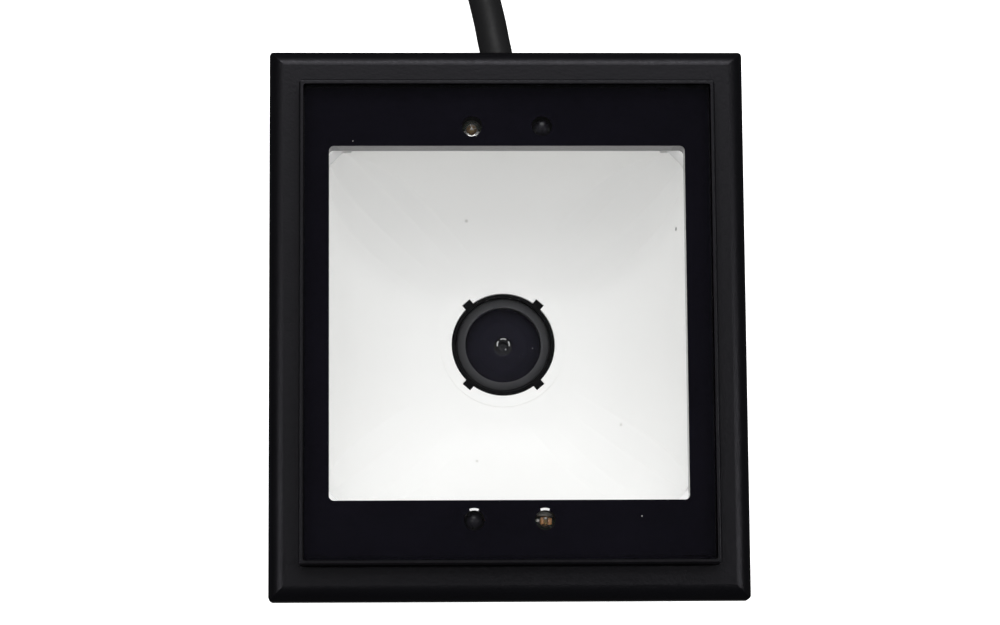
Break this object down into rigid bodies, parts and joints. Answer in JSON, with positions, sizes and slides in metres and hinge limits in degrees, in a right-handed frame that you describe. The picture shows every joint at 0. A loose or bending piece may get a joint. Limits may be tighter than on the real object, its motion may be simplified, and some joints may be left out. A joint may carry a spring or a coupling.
{
  "type": "fixed barcode reader",
  "caption": "Panel-mount fixed barcode reader: black flanged housing, clear window over a white diffuser bowl with a central lens, rear threaded fixings and a coiled data cable.",
  "frame": {"origin": "centre of the reader's rear face, on the surface that it lies on", "axes": "+Z along the optical axis out of the window, +Y towards the side where the cable leaves, +X across the width"},
  "size_m": [0.0967, 0.1947, 0.0505],
  "materials": {
    "housing_plastic": "fine matt moulded texture",
    "cover_plastic": "fine matt moulded texture",
    "seal_rubber": "matt",
    "screw_steel": "zinc plated",
    "insert_brass": "turned",
    "window_clear": "polished clear",
    "window_black": "black print under the clear panel",
    "diffuser_white": "satin white",
    "lens_black": "matt",
    "lens_metal": "black anodised",
    "lens_ring": "grey anodised bevel",
    "lens_glass": "coated",
    "board_green": "solder resist",
    "board_white": "white solder resist",
    "chip_black": "moulded",
    "lamp_white": "phosphor under clear resin",
    "lamp_clear": "clear resin",
    "lamp_dark": "dark tinted resin",
    "connector_cream": "moulded",
    "ribbon_amber": "flexible film",
    "wire_cover": "smooth",
    "cable_jacket": "smooth matt",
    "grommet_rubber": "matt",
    "plug_plastic": "matt overmoulding",
    "plug_metal": "nickel plated",
    "plug_insulator": "moulded",
    "contact_gold": "gold plated"
  },
  "bodies": {
    "root": {"front_housing": "housing_plastic", "rear_cover": "cover_plastic", "cover_seal": "seal_rubber", "cover_screws": "screw_steel", "threaded_inserts": "insert_brass", "window_panel": "window_clear", "window_print": "window_black", "window_seal": "seal_rubber", "diffuser_bowl": "diffuser_white", "bowl_screws": "screw_steel", "lens_shroud": "lens_black", "lens_barrel": "lens_metal", "lens_front_ring": "lens_ring", "lens_front_glass": "lens_glass", "lens_stop": "lens_black", "lens_rear_glass": "lens_glass", "lens_holder": "lens_black", "infrared_filter": "lens_glass", "image_sensor": "chip_black", "camera_board": "board_green", "camera_chips": "chip_black", "light_board": "board_white", "light_lamps": "lamp_white", "light_spacers": "screw_steel", "light_connector": "connector_cream", "decoder_board": "board_green", "decoder_chips": "chip_black", "buzzer": "chip_black", "board_connector": "connector_cream", "board_spacers": "screw_steel", "board_screws": "screw_steel", "clear_lamp_top": "lamp_clear", "dark_sensor_top": "lamp_dark", "dark_sensor_bottom": "lamp_dark", "clear_lamp_bottom": "lamp_clear", "lamp_boards": "board_green", "lamp_ribbons": "ribbon_amber", "ribbon_sockets": "connector_cream", "cable_header": "connector_cream", "cable_wire_plug": "connector_cream", "cable_wires": "wire_cover", "cable_end": "cable_jacket", "cable_grommet": "grommet_rubber", "cord_lead": "cable_jacket", "cord_coil": "cable_jacket", "cord_tail": "cable_jacket", "plug_grip": "plug_plastic", "plug_shell": "plug_metal", "plug_tongue": "plug_insulator", "plug_contacts": "contact_gold"}
  },
  "joints": []
}
